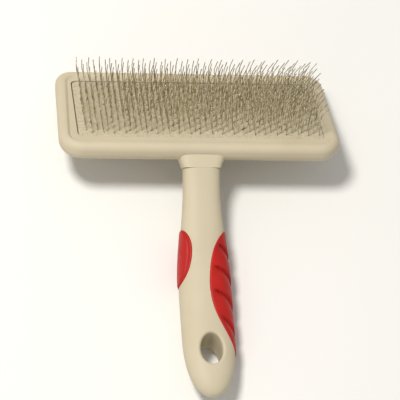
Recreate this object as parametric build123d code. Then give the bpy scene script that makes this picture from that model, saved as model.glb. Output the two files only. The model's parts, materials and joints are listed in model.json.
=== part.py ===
from build123d import *
from math import cos, pi, radians, sin
import os

# Pet slicker brush: a moulded head with a pad of bent wire pins, and a curved handle with rubber grips.
#
# It is drawn in the head's own frame, in millimetres: X runs along the head, Y points away from the handle,
# Z points out of the pad, and the origin is in the middle of the face that the pins stand on.
# place() then lays the brush on its back on a table, with its pins up and its handle towards -Y.

# Pin pad
pad_width = 101.6
pad_depth = 36.8
pad_corner_radius = 2.0
pad_shift = 0.6  # the pad sits a little to the right in the head
face_thickness = 1.4
wire_diameter = 0.36
cushion_thickness = 1.8
backing_thickness = 0.8

# Head
head_width_far = 113.0
head_width_near = 117.0
head_depth = 52.0
far_corner_radius = 7.0
near_corner_radius = 9.5
rim_height = 0.7  # above the pad's face
head_back = -7.9
back_edge_radius = 4.4
rim_edge_radius = 3.0
rim_width = 4.6
ledge_level = -0.05
ledge_corner_radius = 4.0
rim_inner_slope = 55.0  # from upright
pad_clearance = 0.3
pad_offset_x = 0.2  # the pad is pushed to the right and towards the handle in its pocket
pad_offset_y = -0.2
back_wall = 2.0
rib_thickness = 1.6
rib_cells = 6
pocket_margin = 4.0  # from the pad's edge to the hollows behind it
pocket_corner_radius = 1.5

# Handle spine, an arc that starts steep under the head and ends nearly level with it
spine_start_y = -26.2
spine_start_z = -10.0
spine_start_angle = 47.0
spine_end_angle = 12.0
spine_length = 98.0
neck_width = 15.0
neck_thickness = 12.4
belly_width = 21.0
belly_thickness = 16.8
swell_start = 0.08  # the neck swells into the belly between these shares of the spine
swell_end = 0.5
end_thinning = 2.6
thinning_start = 0.55
thinning_end = 0.9
end_rounding_start = 0.74
end_rounding_power = 2.2
neck_section_power = 3.0
belly_section_power = 2.3

# Joint between the head and the handle
collar_root_y = -18.5  # inside the head's wall
collar_root_z = -4.0
collar_root_width = 23.0
collar_root_thickness = 6.8
collar_bend_y = -23.4  # where the collar comes out of the wall
collar_bend_z = -5.9
collar_bend_angle = 25.8
collar_bend_width = 20.0
collar_bend_thickness = 8.0
collar_end_width = 15.6
collar_end_thickness = 11.6
collar_section_power = 5.0
tongue_width = 9.0
tongue_thickness = 5.2
tongue_length = 6.5
tongue_clearance = 0.1

# Hanging hole
hole_at = 0.81
hole_width = 8.8
hole_length = 13.4
hole_edge_radius = 1.0

# Rubber grips, whose inner edges run through points of (share of the spine, x)
thumb_edge = [(0.255, -9.6), (0.285, -7.2), (0.36, -5.5), (0.44, -6.8), (0.52, -11.5)]
finger_edge = [(0.262, 9.6), (0.3, 6.1), (0.42, 1.6), (0.54, 0.7), (0.66, 3.0), (0.83, 10.6)]
grip_view_at = 0.54  # the edges are drawn as seen square on to the handle here
grip_depth = 2.4
grip_stand = 0.35
groove_width = 0.9
groove_depth = 0.9
groove_tilt = 40.0
first_groove_at = 0.394
groove_pitch = 0.112
groove_inset = 1.5  # how far inside the grip's edge a groove starts
groove_count = 4

# Wire pins
row_count = 20
pins_per_row = 22
pin_pitch = 4.48
row_pitch = 1.72
row_stagger = 1.15  # each row is moved this much either way, a quarter of the pitch
field_shift = 0.5
lower_length = 10.2
upper_length = 8.4
knee_angle = 30.0
middle_lean = -5.0  # the lower lengths fan out from this lean, in degrees towards +X
splay_at_end = 5.0
knee_swing = 4.0  # the knee also bends a little towards +X
wire_bend_radius = 0.7
crown_bend_radius = 0.25
crown_gap = 0.06
root_height = 0.9
staple_space = wire_diameter + 2 * crown_gap  # between the face and the cushion


def spine_angle(s):
    """How far the spine points below the head's plane, in radians, at s from 0 (neck) to 1 (end)."""
    return radians(spine_start_angle + (spine_end_angle - spine_start_angle) * s)


def spine_plane(s):
    """The plane across the handle at s: X is the brush's -X, Y the handle's back, Z towards the end."""
    first = spine_angle(0)
    here = spine_angle(s)
    radius = spine_length / (spine_angle(1) - first)
    y = spine_start_y - radius * (sin(here) - sin(first))
    z = spine_start_z + radius * (cos(here) - cos(first))
    towards_end = (0, -cos(here), -sin(here))
    return Plane(origin=(0, y, z), x_dir=(-1, 0, 0), z_dir=towards_end)


def smooth(value, low, high):
    t = min(max((value - low) / (high - low), 0.0), 1.0)
    return t * t * (3 - 2 * t)


def end_rounding(s):
    if s <= end_rounding_start:
        return 1.0
    u = (s - end_rounding_start) / (1 - end_rounding_start)
    return (1 - u**end_rounding_power) ** (1 / end_rounding_power)


def handle_size(s):
    """The handle's width and thickness at s."""
    swell = smooth(s, swell_start, swell_end)
    width = neck_width + (belly_width - neck_width) * swell
    thickness = neck_thickness + (belly_thickness - neck_thickness) * swell
    thickness -= end_thinning * smooth(s, thinning_start, thinning_end)
    return width * end_rounding(s), thickness * end_rounding(s)


def oval(width, thickness, power):
    """A rounded section: an ellipse at a power of 2, and nearer to a rectangle at a higher one."""
    points = []
    for step in range(24):
        angle = 2 * pi * step / 24
        c, n = cos(angle), sin(angle)
        x = width / 2 * abs(c) ** (2 / power) * (1 if c > 0 else -1)
        y = thickness / 2 * abs(n) ** (2 / power) * (1 if n > 0 else -1)
        points.append((x, y))
    return make_face(Spline(*points, periodic=True))


def handle_stations():
    """Where the handle's sections are: evenly spaced, then closer and closer towards the rounded end."""
    straight = [end_rounding_start * step / 10 for step in range(11)]
    reach = 1 - end_rounding_start
    cap = [end_rounding_start + reach * sin(radians(angle)) for angle in (20, 38, 54, 68, 79, 86)]
    return straight + cap


def handle_form(grow=0.0):
    """The handle's outside, moved out by grow."""
    sections = []
    for s in handle_stations():
        width, thickness = handle_size(s)
        power = neck_section_power + (belly_section_power - neck_section_power) * smooth(s, 0.0, swell_end)
        section = oval(max(width + 2 * grow, 0.5), max(thickness + 2 * grow, 0.5), power)
        sections.append(spine_plane(s) * section)
    return loft(sections)


def grip_zone(points):
    """A block that covers one side of the handle, bounded by a curve through points of (s, x)."""
    plane = spine_plane(grip_view_at)
    face_on = Plane(origin=plane.origin, x_dir=plane.z_dir, z_dir=plane.y_dir)
    sign = face_on.to_local_coords(Vector(*face_on.origin) + Vector(1, 0, 0)).Y
    curve = [((s - grip_view_at) * spine_length, x * sign) for s, x in points]
    outside = 2 * belly_width if curve[0][1] > 0 else -2 * belly_width
    edge = Spline(*curve)
    closing = Polyline(curve[-1], (curve[-1][0], outside), (curve[0][0], outside), curve[0])
    return extrude(face_on * make_face(edge + closing), amount=2 * belly_width, both=True)


def grip(points):
    """A rubber inlay on one side of the handle, standing a little proud of it."""
    return (handle_form(grip_stand) & grip_zone(points)) - handle_form(-grip_depth)


def groove_blades():
    """Thin slanted slabs where the finger grooves are cut: each runs down from the front to the back."""
    reach = belly_width
    blades = []
    for index in range(groove_count):
        plane = spine_plane(first_groove_at + groove_pitch * index)
        slab = Pos(-reach / 2, 0, 0) * Rot(groove_tilt, 0, 0) * Box(reach, 2 * reach, groove_width)
        blades.append(plane * slab)
    return blades


def thumb_grip():
    return grip(thumb_edge)


def finger_grip():
    whole = grip(finger_edge)
    grooved = grip_zone([(s, x + groove_inset) for s, x in finger_edge])
    floor = handle_form(grip_stand - groove_depth)
    for blade in groove_blades():
        whole -= (blade & grooved) - floor
    return whole


def tongue(clearance=0.0):
    """The plug on the handle that goes into the head."""
    root = spine_plane(0)
    size = tongue_width + 2 * clearance, tongue_thickness + 2 * clearance
    length = tongue_length + clearance
    return root * Pos(0, 0, -length / 2) * Box(*size, length)


def hanging_hole():
    plane = spine_plane(hole_at)
    across = Plane(origin=plane.origin, x_dir=plane.x_dir, z_dir=plane.y_dir)
    return extrude(across * Ellipse(hole_width / 2, hole_length / 2), amount=belly_width, both=True)


def handle(grips):
    """The handle, with rounded rims on its hole, pockets for the grips and the tongue."""
    body = handle_form() - hanging_hole()
    shortest_rim = 30.0
    rims = body.edges().filter_by(lambda edge: edge.length > shortest_rim and abs(edge.center().X) < 1)
    body = fillet(rims.sort_by(Axis.Y)[:2], hole_edge_radius)
    for piece in grips:
        body -= piece
    return body + tongue()


def head_outline(inset, far_radius, near_radius):
    """The head seen from the front: slightly wider on the handle's side."""
    far, near = head_width_far / 2 - inset, head_width_near / 2 - inset
    top = head_depth / 2 - inset
    outline = make_face(Polyline((-near, -top), (near, -top), (far, top), (-far, top), close=True))
    outline = fillet(outline.vertices().group_by(Axis.Y)[-1], far_radius)
    return fillet(outline.vertices().group_by(Axis.Y)[0], near_radius)


def collar():
    """The stub on the head that the handle plugs into."""
    root = Plane(origin=(0, collar_root_y, collar_root_z), x_dir=(-1, 0, 0), z_dir=(0, -1, 0))
    angle = radians(collar_bend_angle)
    outwards = (0, -cos(angle), -sin(angle))
    bend = Plane(origin=(0, collar_bend_y, collar_bend_z), x_dir=(-1, 0, 0), z_dir=outwards)
    sections = [root * oval(collar_root_width, collar_root_thickness, collar_section_power)]
    sections.append(bend * oval(collar_bend_width, collar_bend_thickness, collar_section_power))
    sections.append(spine_plane(0) * oval(collar_end_width, collar_end_thickness, collar_section_power))
    return loft(sections, ruled=True)


def pad_outline(extra):
    width, depth = pad_width + 2 * extra, pad_depth + 2 * extra
    return Pos(pad_shift, 0) * RectangleRounded(width, depth, pad_corner_radius + extra)


def pad_layer(top, thickness, extra=0.0):
    return Pos(0, 0, top - thickness) * extrude(pad_outline(extra), amount=thickness)


def head_shell():
    height = rim_height - head_back
    outline = head_outline(0, far_corner_radius, near_corner_radius)
    shell = Pos(0, 0, head_back) * extrude(outline, amount=height)
    shell = fillet(shell.edges().group_by(Axis.Z)[0], back_edge_radius)
    shell = fillet(shell.edges().group_by(Axis.Z)[-1], rim_edge_radius)
    shell += collar()
    ledge = head_outline(rim_width, ledge_corner_radius, ledge_corner_radius)
    above = 4 * (rim_height - ledge_level)
    shell -= Pos(0, 0, ledge_level) * extrude(ledge, amount=above, taper=-rim_inner_slope)
    stack = face_thickness + staple_space + cushion_thickness + backing_thickness
    shell -= Pos(-pad_offset_x, -pad_offset_y) * pad_layer(0.0, stack, pad_clearance)
    shell -= rib_pockets(-stack)
    return shell - tongue(tongue_clearance)


def rib_pockets(top):
    """Hollows behind the pad, with ribs between them that carry it."""
    depth = top - head_back - back_wall
    pitch = (pad_width - 2 * pocket_margin + rib_thickness) / rib_cells
    pockets = []
    for index in range(rib_cells):
        x = pad_shift + (index - (rib_cells - 1) / 2) * pitch
        place = Pos(x, 0, top - depth)
        outline = RectangleRounded(pitch - rib_thickness, pad_depth - 2 * pocket_margin, pocket_corner_radius)
        pockets.append(place * extrude(outline, amount=depth))
    return pockets


def row_pins(row):
    """Where the pins of a row stand: its y, and the x of each pin."""
    y = (row - (row_count - 1) / 2) * row_pitch
    stagger = row_stagger if row % 2 == 0 else -row_stagger
    first = pad_shift + field_shift + stagger - (pins_per_row - 1) / 2 * pin_pitch
    return y, [first + index * pin_pitch for index in range(pins_per_row)]


def leg(x, lean):
    """One pin from the crown of its staple to its tip: straight through the pad, then leaning, then bent."""
    out, swung, knee = radians(lean), radians(lean + knee_swing), radians(knee_angle)
    crown = Vector(x, 0, -face_thickness - crown_gap - wire_diameter / 2)
    root = Vector(x, 0, root_height)
    bend = root + Vector(sin(out), 0, cos(out)) * (lower_length - root_height)
    tip = bend + Vector(sin(swung) * cos(knee), -sin(knee), cos(swung) * cos(knee)) * upper_length
    return [crown, root, bend, tip]


def staple(x, lean):
    """A wire bent into two pins, one pitch apart, whose crown lies behind the pad's face."""
    left = leg(x, lean)
    right = leg(x + pin_pitch, lean)
    bends = [wire_bend_radius, wire_bend_radius, crown_bend_radius]
    path = FilletPolyline(*reversed(left), *right, radius=bends + bends[::-1])
    return sweep(Plane(path @ 0, z_dir=path % 0) * Circle(wire_diameter / 2), path=path)


def pin_row(row):
    y, places = row_pins(row)
    half_width = pad_width / 2
    staples = []
    for x in places[::2]:
        lean = middle_lean + splay_at_end * (x + pin_pitch / 2 - pad_shift) / half_width
        staples.append(Pos(0, y, 0) * staple(x, lean))
    return Compound(staples)


def pad_face():
    """The rubber-faced cloth that the wire pins are set through."""
    sheet = pad_outline(0.0)
    holes = []
    for row in range(row_count):
        y, places = row_pins(row)
        holes += [Pos(x, y) * Circle(wire_diameter / 2) for x in places]
    return Pos(0, 0, -face_thickness) * extrude(sheet - holes, amount=face_thickness)


def resting_tilt(pieces):
    """The turn about X at which the head's far edge and the handle touch the same table."""
    low, high = 0.0, 45.0
    for _ in range(24):
        tilt = (low + high) / 2
        head, grip_end = [(Rot(-tilt, 0, 0) * piece).bounding_box().min.Z for piece in pieces]
        low, high = (tilt, high) if grip_end < head else (low, tilt)
    return tilt


def build():
    thumb, fingers = thumb_grip(), finger_grip()
    cushion_top = -face_thickness - staple_space
    parts = {
        "head_shell": head_shell(),
        "handle": handle([thumb, fingers]),
        "thumb_grip": thumb,
        "finger_grip": fingers,
        "pad_face": pad_face(),
        "pad_cushion": pad_layer(cushion_top, cushion_thickness),
        "pad_backing": pad_layer(cushion_top - cushion_thickness, backing_thickness),
    }
    for row in range(row_count):
        parts[f"pin_row_{row + 1:02d}"] = pin_row(row)
    return parts


def place(parts):
    """Lay the brush on the table: its middle over the origin, its lowest points at z = 0."""
    turn = Rot(-resting_tilt([parts["head_shell"], parts["handle"]]), 0, 0)
    turned = {name: turn * piece for name, piece in parts.items()}
    box = Compound(list(turned.values())).bounding_box()
    shift = Pos(-box.center().X, -box.center().Y, -box.min.Z)
    return {name: shift * piece for name, piece in turned.items()}


os.makedirs("parts", exist_ok=True)
for node, solid in place(build()).items():
    export_step(solid, f"parts/{node}.step")
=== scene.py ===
import json
import math
import random

import bpy
import numpy as np
from mathutils import Matrix, Vector


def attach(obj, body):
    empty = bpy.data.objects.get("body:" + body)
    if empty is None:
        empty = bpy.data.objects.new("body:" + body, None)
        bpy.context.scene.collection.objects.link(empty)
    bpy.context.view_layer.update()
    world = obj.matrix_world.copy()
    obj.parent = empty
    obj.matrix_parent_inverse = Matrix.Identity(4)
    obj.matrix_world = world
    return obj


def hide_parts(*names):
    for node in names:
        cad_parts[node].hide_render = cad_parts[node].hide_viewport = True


# Slicker brush: a T-shaped head with a field of bent wire pins, and a curved handle with rubber grips.
#
# Shapes are drawn in the head's own frame, in millimetres: X along the head, Y away from the handle,
# Z out of the pad, origin in the head's middle, level with the pad's face. HEAD carries them into the
# shared frame. On the handle, s is a place along its spine: 0 at the neck and 1 at the far end.
# Angles are in degrees.

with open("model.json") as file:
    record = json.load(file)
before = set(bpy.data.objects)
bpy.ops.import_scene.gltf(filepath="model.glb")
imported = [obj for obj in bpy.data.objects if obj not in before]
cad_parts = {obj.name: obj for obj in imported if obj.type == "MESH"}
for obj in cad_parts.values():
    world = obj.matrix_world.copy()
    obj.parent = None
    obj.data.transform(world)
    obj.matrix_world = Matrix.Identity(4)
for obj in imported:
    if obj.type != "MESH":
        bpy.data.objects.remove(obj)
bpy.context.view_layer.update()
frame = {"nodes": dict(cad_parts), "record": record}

MM = 0.001
NEARLY_ONE = 0.999
HEAD_BACK = (0.0, 2.0, -7.9)  # where the mount on the head's back is, in the head's frame

# Handle, as in the CAD model. A section's power is 2 for an ellipse, and more for a boxier shape.
SPINE_START = (-26.2, -10.0)  # y and z
SPINE_START_ANGLE, SPINE_END_ANGLE = 47.0, 12.0
SPINE_LENGTH = 98.0
NECK_WIDTH, NECK_THICKNESS, NECK_POWER = 15.0, 12.4, 3.0
BELLY_WIDTH, BELLY_THICKNESS, BELLY_POWER = 21.0, 16.8, 2.3
SWELL_START, SWELL_END = 0.08, 0.5  # s
END_THINNING, THINNING_START, THINNING_END = 2.6, 0.55, 0.9  # mm, s, s
END_ROUNDING_START, END_ROUNDING_POWER = 0.74, 2.2
TONGUE_WIDTH, TONGUE_THICKNESS, TONGUE_LENGTH, TONGUE_POWER = 9.0, 5.2, 6.5, 5.0
TONGUE_TIP_LENGTH, TONGUE_TIP_SIZE = 0.4, 0.8  # mm, share of the tongue's section
NECK_EDGE_RADIUS = 0.45
NECK_EDGE_TURNS = (0.0, 27.0, 54.0, 76.5, 90.0)
HANDLE_SIDES, BODY_RINGS, CAP_RINGS = 300, 280, 110
CAP_FIRST_TURN, CAP_LAST_TURN = 1.0, 86.0

# Hanging hole. Past the rim's rounding, the cutter's wall goes out along its slope, then straight up.
HOLE_AT = 0.81  # s
HOLE_WIDTH, HOLE_LENGTH = 8.8, 13.4
HOLE_ROUNDING, HOLE_ROUNDING_LEFT_OUT = 1.1, 10.0  # mm, degrees before it would meet the surface
HOLE_SIDES, HOLE_RIM_RINGS = 96, 9
CUTTER_FLARE, CUTTER_RISE = 2.0, 6.0

# Rubber grips: where each one's inner edge runs, as (s, x), and which side of that edge it lies on
THUMB_EDGE = [(0.255, -9.6), (0.285, -7.2), (0.36, -5.5), (0.44, -6.8), (0.52, -11.5)]
FINGER_EDGE = [(0.262, 9.6), (0.3, 6.1), (0.42, 1.6), (0.54, 0.7), (0.66, 3.0), (0.83, 10.6)]
THUMB_SIDE, FINGER_SIDE = -1, 1
POCKET_DEPTH, POCKET_GAP = 2.0, 0.2  # the gap is what the rubber leaves free under itself
POCKET_WALL_START, POCKET_WALL_END = 0.15, 0.5  # how far inside the edge the pocket goes down
GRIP_STAND = 0.35  # how far the rubber stands out of the plastic
GRIP_EDGE_RADIUS = 0.5

# Finger grooves, like overlapping scales
GROOVE_FIRST, GROOVE_PITCH, GROOVE_COUNT = 0.394, 0.112, 4  # s, s
GROOVE_TILT = 40.0
GROOVE_DEPTH = 1.25
GROOVE_STEEP_LENGTH, GROOVE_LONG_LENGTH = 0.45, 6.0
GROOVE_INSET, GROOVE_FADE = 0.3, 3.1  # from the grip's edge to its start, and on to its full depth

# The line round the thumb grip, and the step up to the panel inside it
BEVEL_INSET, BEVEL_WIDTH, BEVEL_DEPTH = 1.45, 0.28, 0.3
PANEL_START, PANEL_END, PANEL_RISE = 1.5, 3.0, 0.18

# How a grip's surface is divided: close together near its edge, then evenly to its middle
GRIP_RINGS, GRIP_END_SHARE = 190, 0.02
GRIP_END_SEARCH, GRIP_END_MARGIN = 2000, 0.05  # a grip ends where its edge meets the handle's outline
EDGE_STEPS = np.array([0.0, 0.04, 0.1, 0.18, 0.28, 0.4, 0.55, 0.8, 1.1, 1.3, 1.4, 1.5, 1.6, 1.8])
EDGE_STEPS_SHARE = 0.6  # the most that they may take of the way to the middle
MIDDLE_STEPS = 34
BOTTOM_STRIDE, BOTTOM_NARROWING = 3, 0.985

# Pad: its face and the foam under it
FACE_THICKNESS = 1.4
PAD_WIDTH, PAD_DEPTH, PAD_CORNER = 101.6, 36.8, 2.0
PAD_SHIFT = 0.6  # of the pad along X, off the head's middle
# (inset, drop) from the face's underside up to its top
PAD_EDGE = ((0.6, FACE_THICKNESS), (0.0, FACE_THICKNESS), (0.0, 0.25), (0.08, 0.08), (0.25, 0.0))
PAD_TOP_RINGS, PAD_TOP_START, PAD_TOP_STOP, PAD_TOP_CORNER = 46, 0.6, 0.15, 0.12
CORNER_POINTS, LONG_SIDE_STEPS, SHORT_SIDE_STEPS = 9, 250, 90
DIMPLE_DEPTH, DIMPLE_SPREAD, DIMPLE_REACH = 0.30, 0.12, 2.0  # mm, square mm, mm
LIP_HEIGHT, LIP_SPREAD, LIP_SHIFT = 0.16, 0.2, 0.5  # mm, square mm, mm towards the handle
CUSHION_THICKNESS, CUSHION_BULGE, CUSHION_RINGS = 1.8, 0.3, 13

# Wire pins. X is positive towards the right end of the head, as it is seen in the photo.
WIRE_DIAMETER = 0.36
WIRE_END_SIZE, WIRE_END_LENGTH = 0.55, 0.5  # in radii of the wire
ROWS, PINS_PER_ROW = 20, 22
PIN_PITCH, ROW_PITCH, ROW_STAGGER = 4.48, 1.72, 1.15
FIELD_SHIFT = 0.5  # of all the pins along X, off the pad's middle
LOWER_LENGTH, UPPER_LENGTH = 10.2, 8.4
ROOT_HEIGHT = 0.9
CROWN_GAP = 0.06
KNEE_ANGLE, KNEE_SWING = 30.0, 1.0  # back towards the handle, and sideways towards +X
KNEE_RADIUS, CROWN_RADIUS = 0.8, 0.25
MIDDLE_LEAN, SPLAY = -5.0, 5.0
LEFT_END_LEAN, LEFT_END_START, LEFT_END_FULL = -4.0, 34.0, 50.0  # what is added near the left end
RIGHT_END_SWING, RIGHT_END_START, RIGHT_END_FULL = 7.5, 5.0, 45.0  # and near the right end

# How much the pins differ
PIN_SEED = 1000
LEAN_SPREAD, SWING_SPREAD, KNEE_SPREAD, ROOT_SPREAD = 0.9, 1.4, 1.3, 0.08
SHORTEST_LOWER, SHORTEST_UPPER = 0.98, 0.95

# Scene, in metres. The camera has a long lens, on the handle's side and a little to the left.
FLOOR_SIZE = 6.0
WORLD_COLOUR, WORLD_STRENGTH = (1.0, 0.985, 0.955), 0.45
CAMERA_TARGET = (-5.75, -58.7, 0.0)  # in the head's frame
CAMERA_DISTANCE = 0.9474
CAMERA_AZIMUTH, CAMERA_ELEVATION, CAMERA_ROLL = 22.18, 63.39, 20.53
CAMERA_SENSOR, CAMERA_LENS = 36.0, 216.0  # millimetres

back_mount = next(m for m in frame["record"]["mounts"] if m["name"] == "head_back")
tilt = math.atan2(-back_mount["axis"][1], -back_mount["axis"][2])
turn = Matrix.Rotation(-tilt, 4, "X")
origin = Vector(back_mount["pos_m"]) - turn @ (Vector(HEAD_BACK) * MM)
HEAD = Matrix.Translation(origin) @ turn @ Matrix.Scale(MM, 4)


# ---------------------------------------------------------------- node materials

class Material:
    """A Principled material and short ways to add the nodes that feed it."""

    NOISE_LOW, NOISE_HIGH = 0.3, 0.7  # most of a noise field lies between these

    def __init__(self, name, **values):
        self.material = bpy.data.materials.new(name)
        self.material.use_nodes = True
        self.nodes = self.material.node_tree.nodes
        self.links = self.material.node_tree.links
        self.shader = self.nodes["Principled BSDF"]
        self.place = self.nodes.new("ShaderNodeTexCoord").outputs["Object"]
        for socket, value in values.items():
            self.shader.inputs[socket.replace("_", " ")].default_value = value

    def noise(self, scale, detail=3.0):
        """A noise field with features of about 1/scale metres."""
        texture = self.nodes.new("ShaderNodeTexNoise")
        texture.inputs["Scale"].default_value = scale
        texture.inputs["Detail"].default_value = detail
        self.links.new(self.place, texture.inputs["Vector"])
        return texture.outputs["Fac"]

    def cells(self, scale):
        """Round cells of about 1/scale metres."""
        texture = self.nodes.new("ShaderNodeTexVoronoi")
        texture.inputs["Scale"].default_value = scale
        self.links.new(self.place, texture.inputs["Vector"])
        return texture.outputs["Distance"]

    def convexity(self):
        """How much the surface bulges: high on edges, low in corners."""
        return self.nodes.new("ShaderNodeNewGeometry").outputs["Pointiness"]

    def ramp(self, source, *stops):
        """Colours along a field, as (position, colour) pairs."""
        ramp = self.nodes.new("ShaderNodeValToRGB")
        elements = ramp.color_ramp.elements
        while len(elements) < len(stops):
            elements.new(0.5)
        for element, (position, colour) in zip(elements, stops):
            element.position = position
            element.color = (*colour, 1.0)
        self.links.new(source, ramp.inputs["Fac"])
        return ramp.outputs["Color"]

    def scale_range(self, source, low, high):
        """A noise field stretched to run from low to high."""
        node = self.nodes.new("ShaderNodeMapRange")
        node.inputs["From Min"].default_value = self.NOISE_LOW
        node.inputs["From Max"].default_value = self.NOISE_HIGH
        node.inputs["To Min"].default_value = low
        node.inputs["To Max"].default_value = high
        self.links.new(source, node.inputs["Value"])
        return node.outputs["Result"]

    def multiply(self, first, second):
        mix = self.nodes.new("ShaderNodeMix")
        mix.data_type = "RGBA"
        mix.blend_type = "MULTIPLY"
        mix.inputs["Factor"].default_value = 1.0
        self.links.new(first, mix.inputs["A"])
        self.links.new(second, mix.inputs["B"])
        return mix.outputs["Result"]

    def feed(self, socket, source):
        self.links.new(source, self.shader.inputs[socket])

    def bump(self, *fields):
        """Stack bumps, given as (field, strength, height in metres)."""
        normal = None
        for source, strength, height in fields:
            node = self.nodes.new("ShaderNodeBump")
            node.inputs["Strength"].default_value = strength
            node.inputs["Distance"].default_value = height
            self.links.new(source, node.inputs["Height"])
            if normal is not None:
                self.links.new(normal, node.inputs["Normal"])
            normal = node.outputs["Normal"]
        self.links.new(normal, self.shader.inputs["Normal"])


def body_plastic():
    """Warm off-white moulded plastic with a fine satin texture, and painted shade darkening its creases
    and corners.
    """
    scattering = {"Subsurface_Weight": 0.06, "Subsurface_Scale": 0.004}
    m = Material("body_plastic", Specular_IOR_Level=0.32, **scattering)
    dark, light = (0.52, 0.457, 0.325), (0.56, 0.495, 0.358)
    # Painted shade: the base colour is darkened in concave creases and corners, where shade would fall.
    crease_shade, unshaded = (0.90, 0.87, 0.82), (1, 1, 1)
    clouds = m.ramp(m.noise(38, 4), (0.32, dark), (0.68, light))
    painted_corner_shade = m.ramp(m.convexity(), (0.40, crease_shade), (0.49, unshaded))
    m.feed("Base Color", m.multiply(clouds, painted_corner_shade))
    m.feed("Roughness", m.scale_range(m.noise(220, 3), 0.52, 0.64))
    m.bump((m.noise(2600, 2), 0.18, 0.00006), (m.noise(300, 2), 0.10, 0.0001))
    return m.material


def grip_rubber():
    """Soft red rubber: matte, fine-grained, with painted shade darkening it down in its grooves."""
    m = Material("grip_rubber", Specular_IOR_Level=0.25, Sheen_Weight=0.02, Sheen_Roughness=0.5)
    dark, light = (0.37, 0.0085, 0.006), (0.45, 0.012, 0.008)
    # Painted shade: the base colour is darkened in the grooves' concave hollows.
    shaded, clear = (0.55, 0.5, 0.5), (1, 1, 1)
    clouds = m.ramp(m.noise(90, 4), (0.3, dark), (0.7, light))
    painted_groove_shade = m.ramp(m.convexity(), (0.42, shaded), (0.50, clear))
    m.feed("Base Color", m.multiply(clouds, painted_groove_shade))
    m.feed("Roughness", m.scale_range(m.noise(400, 3), 0.42, 0.58))
    m.bump((m.cells(3200), 0.22, 0.00005), (m.noise(500, 3), 0.12, 0.0001))
    return m.material


def pad_rubber():
    """Rubber-faced cloth: light grey-beige, matte, with a faint pebble and darker flecks."""
    m = Material("pad_rubber", Specular_IOR_Level=0.25)
    dark, middle, light = (0.40, 0.355, 0.24), (0.50, 0.445, 0.315), (0.56, 0.495, 0.36)
    m.feed("Base Color", m.ramp(m.noise(900, 4), (0.3, dark), (0.5, middle), (0.7, light)))
    m.feed("Roughness", m.scale_range(m.noise(600, 3), 0.62, 0.82))
    m.bump((m.cells(2600), 0.22, 0.00006))
    return m.material


def pin_wire():
    """Drawn steel wire with light and dark streaks along it: partly the wire's own tone, partly painted
    highlights and painted shade for the glints along each wire.
    """
    m = Material("pin_wire", Metallic=1.0)
    # The light streaks are partly painted highlights, and the dark ones partly painted shade.
    dark, middle, light = (0.25, 0.22, 0.155), (0.58, 0.525, 0.41), (0.90, 0.84, 0.69)
    m.feed("Base Color", m.ramp(m.noise(350, 4), (0.32, dark), (0.48, middle), (0.64, light)))
    m.feed("Roughness", m.scale_range(m.noise(1100, 3), 0.18, 0.36))
    m.bump((m.noise(5000, 2), 0.12, 0.00002))
    return m.material


def cushion_foam():
    """Open-celled foam, grey-beige."""
    m = Material("cushion_foam", Specular_IOR_Level=0.2)
    dark, light = (0.30, 0.28, 0.24), (0.52, 0.49, 0.43)
    m.feed("Base Color", m.ramp(m.cells(900), (0.1, dark), (0.5, light)))
    m.feed("Roughness", m.scale_range(m.noise(500), 0.8, 0.95))
    m.bump((m.cells(900), 0.5, 0.0002))
    return m.material


def backing_board():
    """Grey fibre board."""
    m = Material("backing_board", Specular_IOR_Level=0.3)
    dark, light = (0.40, 0.38, 0.34), (0.50, 0.48, 0.44)
    m.feed("Base Color", m.ramp(m.noise(200, 5), (0.3, dark), (0.7, light)))
    m.feed("Roughness", m.scale_range(m.noise(300), 0.6, 0.8))
    m.bump((m.noise(1500, 3), 0.3, 0.00005))
    return m.material


def floor_paper():
    """Off-white matte paper."""
    m = Material("floor_paper", Specular_IOR_Level=0.2)
    dark, light = (0.80, 0.795, 0.775), (0.82, 0.815, 0.795)
    m.feed("Base Color", m.ramp(m.noise(6, 2), (0.3, dark), (0.7, light)))
    m.feed("Roughness", m.scale_range(m.noise(40), 0.75, 0.85))
    return m.material


# ---------------------------------------------------------------- meshes

def closed_tube(rings):
    """A tube through rings of equal size, closed at both ends by a fan round an added middle point."""
    rings = np.asarray(rings, float)
    count, size = rings.shape[:2]
    points = list(map(tuple, rings.reshape(-1, 3)))
    faces = []
    for ring in range(count - 1):
        for k in range(size):
            after = (k + 1) % size
            low, high = ring * size, (ring + 1) * size
            faces.append((low + k, low + after, high + after, high + k))
    for ring, flip in ((0, True), (count - 1, False)):
        points.append(tuple(rings[ring].mean(axis=0)))
        middle = len(points) - 1
        for k in range(size):
            edge = (ring * size + k, ring * size + (k + 1) % size)
            faces.append((middle, *(edge[::-1] if flip else edge)))
    return points, faces


def joined(parts):
    """Several (points, faces) as one."""
    points, faces = [], []
    for more_points, more_faces in parts:
        start = len(points)
        points += more_points
        faces += [tuple(start + i for i in face) for face in more_faces]
    return points, faces


def signed_volume(mesh):
    """A closed mesh's volume in cubic metres, below zero if its faces are turned inwards."""
    mesh.calc_loop_triangles()
    total = 0.0
    for triangle in mesh.loop_triangles:
        a, b, c = (mesh.vertices[i].co for i in triangle.vertices)
        total += a.dot(b.cross(c))
    return total / 6


def shade_smooth(mesh, sharp=None):
    """Smooth shading, with a crease at every edge that turns by more than the angle sharp."""
    mesh.polygons.foreach_set("use_smooth", [True] * len(mesh.polygons))
    if sharp is not None:
        mesh.set_sharp_from_angle(angle=math.radians(sharp))


def add_mesh(name, shape, sharp=None):
    """An object from points in the head's frame, with its faces turned outwards."""
    points, faces = shape
    mesh = bpy.data.meshes.new(name)
    mesh.from_pydata(points, [], faces)
    mesh.transform(HEAD)
    mesh.validate()
    if signed_volume(mesh) < 0:
        mesh.flip_normals()
    shade_smooth(mesh, sharp)
    obj = bpy.data.objects.new(name, mesh)
    bpy.context.scene.collection.objects.link(obj)
    return obj


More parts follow.
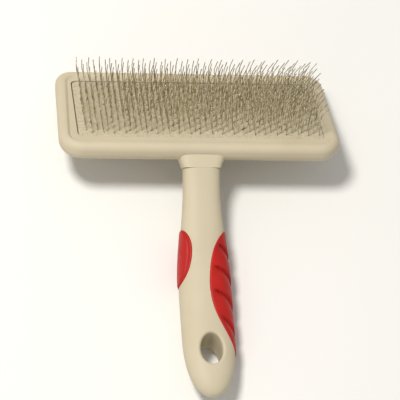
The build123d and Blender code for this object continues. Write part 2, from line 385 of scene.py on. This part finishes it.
def finish_piece(obj, material, slot, *nodes):
    """Give a piece its material, and say what it rides on and the CAD nodes it replaces. The slot
    argument is not used.
    """
    obj.data.materials.clear()
    obj.data.materials.append(material)
    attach(obj, "root")
    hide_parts(*nodes)


# ---------------------------------------------------------------- handle

def smooth(value, low, high):
    """0 up to low and 1 from high on, with a soft rise between them."""
    t = np.clip((value - low) / (high - low), 0.0, 1.0)
    return t * t * (3 - 2 * t)


def spine_angle(s):
    """How steeply the spine drops away from the head's plane at s, in radians."""
    return np.radians(SPINE_START_ANGLE + (SPINE_END_ANGLE - SPINE_START_ANGLE) * s)


def from_spine(s, x, front):
    """The point at x, and at a distance in front of the spine, at s."""
    start, here = spine_angle(0.0), spine_angle(s)
    radius = SPINE_LENGTH / (spine_angle(1.0) - start)
    y = SPINE_START[0] - radius * (np.sin(here) - np.sin(start)) - front * np.sin(here)
    z = SPINE_START[1] + radius * (np.cos(here) - np.cos(start)) + front * np.cos(here)
    return np.stack(np.broadcast_arrays(x, y, z), axis=-1)


def handle_size(s):
    """Half the handle's width and thickness at s, and its section's power."""
    swell = smooth(s, SWELL_START, SWELL_END)
    width = NECK_WIDTH + (BELLY_WIDTH - NECK_WIDTH) * swell
    thickness = NECK_THICKNESS + (BELLY_THICKNESS - NECK_THICKNESS) * swell
    thickness = thickness - END_THINNING * smooth(s, THINNING_START, THINNING_END)
    u = np.clip((s - END_ROUNDING_START) / (1 - END_ROUNDING_START), 0, 1)
    rounding = (1 - u**END_ROUNDING_POWER) ** (1 / END_ROUNDING_POWER)
    power = NECK_POWER + (BELLY_POWER - NECK_POWER) * smooth(s, 0.0, SWELL_END)
    return width / 2 * rounding, thickness / 2 * rounding, power


def superellipse(angle, half_width, half_thickness, power):
    """x and the distance in front of the spine, at an angle round a section."""
    c, n = np.cos(angle), np.sin(angle)
    x = half_width * np.abs(c) ** (2 / power) * np.sign(c)
    front = half_thickness * np.abs(n) ** (2 / power) * np.sign(n)
    return x, front


def section_point(s, angle, grow):
    """x and the distance in front, at an angle round the handle's surface at s, moved out by grow."""
    half_width, half_thickness, power = handle_size(s)
    return superellipse(angle, half_width + grow, half_thickness + grow, power)


def edge_curve(edge):
    """x of a grip's inner edge as a smooth function of s."""
    places, offsets = zip(*edge)
    middle = np.mean(places)
    curve = np.polyfit(np.array(places) - middle, offsets, len(edge) - 1)
    return lambda s: np.polyval(curve, s - middle)


def inside_grip(s, x, edge, side):
    """How far x lies inside a grip's edge at s: below zero outside it, or past the grip's ends."""
    inside = (x - edge_curve(edge)(s)) * side
    past_end = (s < edge[0][0]) | (s > edge[-1][0])
    return np.where(past_end, -1.0, inside)


def handle_shape():
    """The handle with its tongue, its neck's rounded edge and its pockets, but without its hole."""
    angles = np.linspace(0, 2 * math.pi, HANDLE_SIDES, endpoint=False)
    rings = []

    tip = TONGUE_LENGTH - TONGUE_TIP_LENGTH
    for back, size in ((TONGUE_LENGTH, TONGUE_TIP_SIZE), (tip, 1.0), (0.0, 1.0)):
        half_width, half_thickness = TONGUE_WIDTH / 2 * size, TONGUE_THICKNESS / 2 * size
        x, front = superellipse(angles, half_width, half_thickness, TONGUE_POWER)
        rings.append(from_spine(-back / SPINE_LENGTH, x, front))

    start = NECK_EDGE_RADIUS / SPINE_LENGTH
    for turned in np.radians(NECK_EDGE_TURNS):
        s = start * (1 - math.cos(turned))
        x, front = section_point(s, angles, -NECK_EDGE_RADIUS * (1 - math.sin(turned)))
        rings.append(from_spine(s, x, front))

    body = np.linspace(start, END_ROUNDING_START, BODY_RINGS)[1:]
    turns = np.radians(np.linspace(CAP_FIRST_TURN, CAP_LAST_TURN, CAP_RINGS))
    cap = END_ROUNDING_START + (1 - END_ROUNDING_START) * np.sin(turns)
    for s in np.concatenate([body, cap]):
        x, _ = section_point(s, angles, 0.0)
        sunk = np.zeros_like(x)
        for edge, side in ((THUMB_EDGE, THUMB_SIDE), (FINGER_EDGE, FINGER_SIDE)):
            inside = inside_grip(s, x, edge, side)
            sunk += POCKET_DEPTH * smooth(inside, POCKET_WALL_START, POCKET_WALL_END)
        x, front = section_point(s, angles, -sunk)
        rings.append(from_spine(s, x, front))
    return closed_tube(rings)


def hole_cutter():
    """The hanging hole's inside, flaring out to both faces with a rounded rim."""
    around = np.linspace(0, 2 * math.pi, HOLE_SIDES, endpoint=False)
    across, along = np.cos(around), np.sin(around)

    def wall(offset):
        """x, s and the handle's half thickness round the hole's wall, moved outwards by offset."""
        x = (HOLE_WIDTH / 2 + offset) * across
        s = HOLE_AT + (HOLE_LENGTH / 2 + offset) * along / SPINE_LENGTH
        half_width, half_thickness, power = handle_size(s)
        share = np.clip(np.abs(x) / half_width, 0, NEARLY_ONE)
        return x, s, half_thickness * (1 - share**power) ** (1 / power)

    near, far = wall(0.0)[2], wall(HOLE_ROUNDING)[2]
    slope = (far - near) / HOLE_ROUNDING
    norm = np.sqrt(1 + slope**2)
    centre = near + slope * HOLE_ROUNDING - HOLE_ROUNDING * norm
    last = np.arccos(slope / norm) - math.radians(HOLE_ROUNDING_LEFT_OUT)

    # Half of the cutter from the handle's middle outwards, as offsets and heights
    half = [(np.zeros(HOLE_SIDES), np.zeros(HOLE_SIDES))]
    for share in np.linspace(0, 1, HOLE_RIM_RINGS):
        t = last * share
        half.append((HOLE_ROUNDING * (1 - np.cos(t)), centre + HOLE_ROUNDING * np.sin(t)))
    offset, height = half[-1]
    flared = offset + CUTTER_FLARE * np.sin(last)
    half += [(flared, height + CUTTER_FLARE * np.cos(last)), (flared, height + CUTTER_RISE)]

    rings = []
    for side, order in ((-1, half[:0:-1]), (1, half)):
        for offset, height in order:
            x, s, _ = wall(offset)
            rings.append(from_spine(s, x, side * height))
    return closed_tube(rings)


def cut(obj, cutter, sharp):
    """Take the cutter's shape out of obj."""
    modifier = obj.modifiers.new("cut", "BOOLEAN")
    modifier.operation = "DIFFERENCE"
    modifier.solver = "EXACT"
    modifier.object = cutter
    evaluated = obj.evaluated_get(bpy.context.evaluated_depsgraph_get())
    mesh = bpy.data.meshes.new_from_object(evaluated)
    obj.modifiers.clear()
    obj.data = mesh
    bpy.data.objects.remove(cutter)
    shade_smooth(mesh, sharp)


def groove_relief(s, front, from_edge):
    """How deep the finger grooves are at a place. Each has a steep side and a long one."""
    relief = np.zeros_like(front)
    slant = front * math.tan(math.radians(GROOVE_TILT))
    for index in range(GROOVE_COUNT):
        past = (s - GROOVE_FIRST - GROOVE_PITCH * index) * SPINE_LENGTH + slant
        steep = smooth(past, -GROOVE_STEEP_LENGTH, 0.0)
        long = np.clip(1 - np.clip(past, 0, None) / GROOVE_LONG_LENGTH, 0, 1) ** 2
        relief = np.maximum(relief, steep * long)
    return GROOVE_DEPTH * relief * smooth(from_edge, GROOVE_INSET, GROOVE_INSET + GROOVE_FADE)


def bevel_relief(s, front, from_edge):
    """A narrow line inside the thumb grip's edge, and a panel that stands a little higher inside it."""
    line = BEVEL_DEPTH * np.exp(-(((from_edge - BEVEL_INSET) / BEVEL_WIDTH) ** 2))
    return line - PANEL_RISE * smooth(from_edge, PANEL_START, PANEL_END)


def grip_shape(edge, side, relief):
    """A rubber inlay: a patch of the handle's surface with rounded edges, which fills its pocket."""
    curve = edge_curve(edge)
    tries = np.linspace(edge[0][0], edge[-1][0], GRIP_END_SEARCH)
    covered = tries[np.abs(curve(tries)) < handle_size(tries)[0] - GRIP_END_MARGIN]
    turns = np.linspace(GRIP_END_SHARE, 1 - GRIP_END_SHARE, GRIP_RINGS) * math.pi
    places = covered[0] + (covered[-1] - covered[0]) * (1 - np.cos(turns)) / 2
    rings = []
    for s in places:
        half_width, half_thickness, power = handle_size(s)
        edge_share = curve(s) * side / half_width
        edge_cosine = abs(edge_share) ** (power / 2) * np.sign(edge_share)
        reach = math.acos(np.clip(edge_cosine, -NEARLY_ONE, NEARLY_ONE))
        radius = (half_width + half_thickness) / 2
        span = reach * radius

        # From the edge in front to the middle, then on to the edge behind
        steps = np.minimum(EDGE_STEPS, span * np.linspace(0, EDGE_STEPS_SHARE, len(EDGE_STEPS)))
        inward = np.concatenate([steps, np.linspace(steps[-1], span, MIDDLE_STEPS)[1:]])
        from_edge = np.concatenate([inward, inward[-2::-1]])
        angle = reach - inward / radius
        angle = np.concatenate([angle, -angle[-2::-1]])

        outside_arc = GRIP_EDGE_RADIUS - np.minimum(from_edge, GRIP_EDGE_RADIUS)
        edge_drop = GRIP_EDGE_RADIUS - np.sqrt(GRIP_EDGE_RADIUS**2 - outside_arc**2)
        _, front = section_point(s, angle, 0.0)
        x, front = section_point(s, angle, GRIP_STAND - edge_drop - relief(s, front, from_edge))
        bottom = angle[::-1][::BOTTOM_STRIDE] * BOTTOM_NARROWING
        bottom_x, bottom_front = section_point(s, bottom, POCKET_GAP - POCKET_DEPTH)
        ring_x = np.concatenate([x, bottom_x]) * side
        rings.append(from_spine(s, ring_x, np.concatenate([front, bottom_front])))
    return closed_tube(rings)


# ---------------------------------------------------------------- pad and pins

def row_pins(row):
    """A row's y, and the x of each of its pins."""
    y = (row - (ROWS - 1) / 2) * ROW_PITCH
    stagger = ROW_STAGGER if row % 2 == 0 else -ROW_STAGGER
    first = PAD_SHIFT + FIELD_SHIFT + stagger - (PINS_PER_ROW - 1) / 2 * PIN_PITCH
    return y, [first + index * PIN_PITCH for index in range(PINS_PER_ROW)]


def rounded_rectangle(width, depth, radius):
    """Points round a rectangle, the same number whatever its size."""
    corner = np.radians(np.linspace(0, 90, CORNER_POINTS))
    arcs = []
    for quarter, (sx, sy) in enumerate(((1, 1), (-1, 1), (-1, -1), (1, -1))):
        angle = corner + quarter * math.pi / 2
        x = sx * (width / 2 - radius) + radius * np.cos(angle)
        y = sy * (depth / 2 - radius) + radius * np.sin(angle)
        arcs.append(np.stack([x, y], axis=1))
    points = []
    for arc, after, steps in zip(arcs, arcs[1:] + arcs[:1], (LONG_SIDE_STEPS, SHORT_SIDE_STEPS) * 2):
        share = np.linspace(0, 1, steps + 1)[1:-1, None]
        points += [arc, arc[-1] + (after[0] - arc[-1]) * share]
    return np.concatenate(points)


def pad_outline(inset, radius):
    """The pad's outline, drawn in by inset."""
    outline = rounded_rectangle(PAD_WIDTH - 2 * inset, PAD_DEPTH - 2 * inset, radius)
    return outline + [PAD_SHIFT, 0]


def raised(outline, height):
    """An outline at one height, or with a height for each of its points."""
    return np.column_stack([outline, np.broadcast_to(height, len(outline))])


def pad_height(points):
    """The face's height: a dimple where each pin comes out, with a raised lip on the handle's side."""
    height = np.zeros(len(points))
    for row in range(ROWS):
        y, places = row_pins(row)
        dy = points[:, 1] - y
        near = np.abs(dy) < DIMPLE_REACH
        index = np.clip(np.round((points[near, 0] - places[0]) / PIN_PITCH), 0, PINS_PER_ROW - 1)
        dx = points[near, 0] - (places[0] + index * PIN_PITCH)
        dimple = np.exp(-(dx**2 + dy[near] ** 2) / DIMPLE_SPREAD)
        lip = np.exp(-(dx**2 + (dy[near] + LIP_SHIFT) ** 2) / LIP_SPREAD)
        height[near] += LIP_HEIGHT * lip - DIMPLE_DEPTH * dimple
    return height


def pad_shape():
    """The pad's face: up its rounded edge, then in over its top."""
    rings = [raised(pad_outline(inset, PAD_CORNER - inset / 2), -drop) for inset, drop in PAD_EDGE]
    for inset in np.linspace(PAD_TOP_START, PAD_DEPTH / 2 - PAD_TOP_STOP, PAD_TOP_RINGS):
        outline = pad_outline(inset, max(PAD_CORNER - inset, PAD_TOP_CORNER))
        rings.append(raised(outline, pad_height(outline)))
    return closed_tube(rings)


def cushion_shape():
    """The foam slab under the staples, pressed so that its sides round out."""
    top = -(FACE_THICKNESS + WIRE_DIAMETER + 2 * CROWN_GAP)
    rings = []
    for turned in np.radians(np.linspace(90, -90, CUSHION_RINGS)):
        outline = pad_outline(CUSHION_BULGE * (1 - math.cos(turned)), PAD_CORNER)
        rings.append(raised(outline, top - CUSHION_THICKNESS / 2 * (1 - math.sin(turned))))
    return closed_tube(rings)


def rounded_path(points, radii, steps=5):
    """A path through points with each corner replaced by an arc."""
    path = [points[0]]
    for before, corner, after, radius in zip(points, points[1:], points[2:], radii):
        to_before, to_after = (before - corner).normalized(), (after - corner).normalized()
        half = to_before.angle(to_after) / 2
        cut_back = radius / math.tan(half)
        centre = corner + (to_before + to_after).normalized() * (radius / math.sin(half))
        first = corner + to_before * cut_back - centre
        last = corner + to_after * cut_back - centre
        for step in range(steps + 1):
            path.append(centre + first.slerp(last, step / steps, first))
    path.append(points[-1])
    return path


def wire(path, radius, sides=8):
    """A round wire along a path, with slightly rounded ends."""
    tangents = []
    for index in range(len(path)):
        before, after = path[max(index - 1, 0)], path[min(index + 1, len(path) - 1)]
        tangents.append((after - before).normalized())
    side = tangents[0].orthogonal().normalized()
    turns = [2 * math.pi * k / sides for k in range(sides)]
    rings = []

    def ring(centre, tangent, size):
        other = tangent.cross(side)
        spokes = [side * math.cos(a) + other * math.sin(a) for a in turns]
        rings.append([tuple(centre + spoke * size) for spoke in spokes])

    ring(path[0], tangents[0], radius * WIRE_END_SIZE)
    ring(path[0] + tangents[0] * radius * WIRE_END_LENGTH, tangents[0], radius)
    for centre, tangent in zip(path[1:-1], tangents[1:-1]):
        side = (side - tangent * side.dot(tangent)).normalized()
        ring(centre, tangent, radius)
    side = (side - tangents[-1] * side.dot(tangents[-1])).normalized()
    ring(path[-1] - tangents[-1] * radius * WIRE_END_LENGTH, tangents[-1], radius)
    ring(path[-1], tangents[-1], radius * WIRE_END_SIZE)
    return closed_tube(rings)


def pin_leg(x, y, lean, chance):
    """A pin from its staple's crown to its tip. No two are bent quite alike."""
    end_lean = LEFT_END_LEAN * float(smooth(-x, LEFT_END_START, LEFT_END_FULL))
    end_swing = RIGHT_END_SWING * float(smooth(x, RIGHT_END_START, RIGHT_END_FULL))
    lean = lean + end_lean + chance.gauss(0, LEAN_SPREAD)
    swing = KNEE_SWING + end_swing - end_lean + chance.gauss(0, SWING_SPREAD)
    knee = math.radians(KNEE_ANGLE + chance.gauss(0, KNEE_SPREAD))
    out, swung = math.radians(lean), math.radians(lean + swing)
    lower = (LOWER_LENGTH - ROOT_HEIGHT) * chance.uniform(SHORTEST_LOWER, 1.0)
    upper = UPPER_LENGTH * chance.uniform(SHORTEST_UPPER, 1.0)
    crown = Vector((x, y, -FACE_THICKNESS - CROWN_GAP - WIRE_DIAMETER / 2))
    root = Vector((x + chance.gauss(0, ROOT_SPREAD), y + chance.gauss(0, ROOT_SPREAD), ROOT_HEIGHT))
    bend = root + Vector((math.sin(out), 0, math.cos(out))) * lower
    sideways, upwards = math.sin(swung) * math.cos(knee), math.cos(swung) * math.cos(knee)
    return [crown, root, bend, bend + Vector((sideways, -math.sin(knee), upwards)) * upper]


def pin_row_shape(row):
    """A row's staples: each is one wire, down a pin, across behind the face and up the next pin."""
    bends = [KNEE_RADIUS, KNEE_RADIUS, CROWN_RADIUS]
    chance = random.Random(PIN_SEED + row)
    y, places = row_pins(row)
    staples = []
    for x in places[::2]:
        lean = MIDDLE_LEAN + SPLAY * (x + PIN_PITCH / 2 - PAD_SHIFT) / (PAD_WIDTH / 2)
        left, right = pin_leg(x, y, lean, chance), pin_leg(x + PIN_PITCH, y, lean, chance)
        path = rounded_path(left[::-1] + right, bends + bends[::-1])
        staples.append(wire(path, WIRE_DIAMETER / 2))
    return joined(staples)


# ---------------------------------------------------------------- the brush

plastic, rubber = body_plastic(), grip_rubber()

handle = add_mesh("handle_body", handle_shape())
cut(handle, add_mesh("hole_cutter", hole_cutter()), sharp=32)
finish_piece(handle, plastic, "body_plastic", "handle")

thumb = add_mesh("thumb_grip_inlay", grip_shape(THUMB_EDGE, THUMB_SIDE, bevel_relief), sharp=50)
finish_piece(thumb, rubber, "grip_rubber", "thumb_grip")

fingers = add_mesh("finger_grip_inlay", grip_shape(FINGER_EDGE, FINGER_SIDE, groove_relief), sharp=50)
finish_piece(fingers, rubber, "grip_rubber", "finger_grip")

pad = add_mesh("pad_face_cloth", pad_shape(), sharp=60)
finish_piece(pad, pad_rubber(), "pad_rubber", "pad_face")

cushion = add_mesh("pad_cushion_foam", cushion_shape(), sharp=50)
finish_piece(cushion, cushion_foam(), "cushion_foam", "pad_cushion")

steel = pin_wire()
for row in range(ROWS):
    pins = add_mesh(f"wire_pins_{row + 1:02d}", pin_row_shape(row))
    finish_piece(pins, steel, "pin_wire", f"pin_row_{row + 1:02d}")

for node, material in (("head_shell", plastic), ("pad_backing", backing_board())):
    shown = frame["nodes"][node]
    shown.data.materials.clear()
    shown.data.materials.append(material)
    shade_smooth(shown.data, sharp=30)


# ---------------------------------------------------------------- floor, light and camera

def add_floor():
    bpy.ops.mesh.primitive_plane_add(size=FLOOR_SIZE, location=(0, 0, 0))
    floor = bpy.context.object
    floor.name = "floor"
    floor.data.materials.append(floor_paper())


def add_world():
    world = bpy.data.worlds.new("studio")
    world.use_nodes = True
    background = world.node_tree.nodes["Background"]
    background.inputs["Color"].default_value = (*WORLD_COLOUR, 1)
    background.inputs["Strength"].default_value = WORLD_STRENGTH
    bpy.context.scene.world = world


def add_light(name, place, size, power, colour):
    """A round lamp, turned towards the brush."""
    light = bpy.data.lights.new(name, "AREA")
    light.shape = "DISK"
    light.size = size
    light.energy = power
    light.color = colour
    obj = bpy.data.objects.new(name, light)
    obj.location = place
    obj.rotation_euler = (-obj.location).to_track_quat("-Z", "Y").to_euler()
    bpy.context.scene.collection.objects.link(obj)


def add_camera():
    target = HEAD @ Vector(CAMERA_TARGET)
    azimuth, elevation = math.radians(CAMERA_AZIMUTH), math.radians(CAMERA_ELEVATION)
    level = Vector((math.sin(azimuth), math.cos(azimuth), 0))
    forward = level * math.cos(elevation) - Vector((0, 0, math.sin(elevation)))
    camera = bpy.data.objects.new("camera", bpy.data.cameras.new("camera"))
    camera.data.sensor_width = CAMERA_SENSOR
    camera.data.lens = CAMERA_LENS
    camera.matrix_world = (
        Matrix.Translation(target - forward * CAMERA_DISTANCE)
        @ forward.to_track_quat("-Z", "Y").to_matrix().to_4x4()
        @ Matrix.Rotation(math.radians(CAMERA_ROLL), 4, "Z")
    )
    bpy.context.scene.collection.objects.link(camera)
    bpy.context.scene.camera = camera


add_floor()
add_world()
add_light("key", place=(-0.36, 0.11, 0.92), size=0.22, power=8.3, colour=(1.0, 0.975, 0.93))
add_light("fill", place=(-0.45, -0.95, 0.35), size=0.7, power=1.3, colour=(1.0, 0.985, 0.95))
add_camera()
bpy.context.scene.view_settings.view_transform = "Standard"
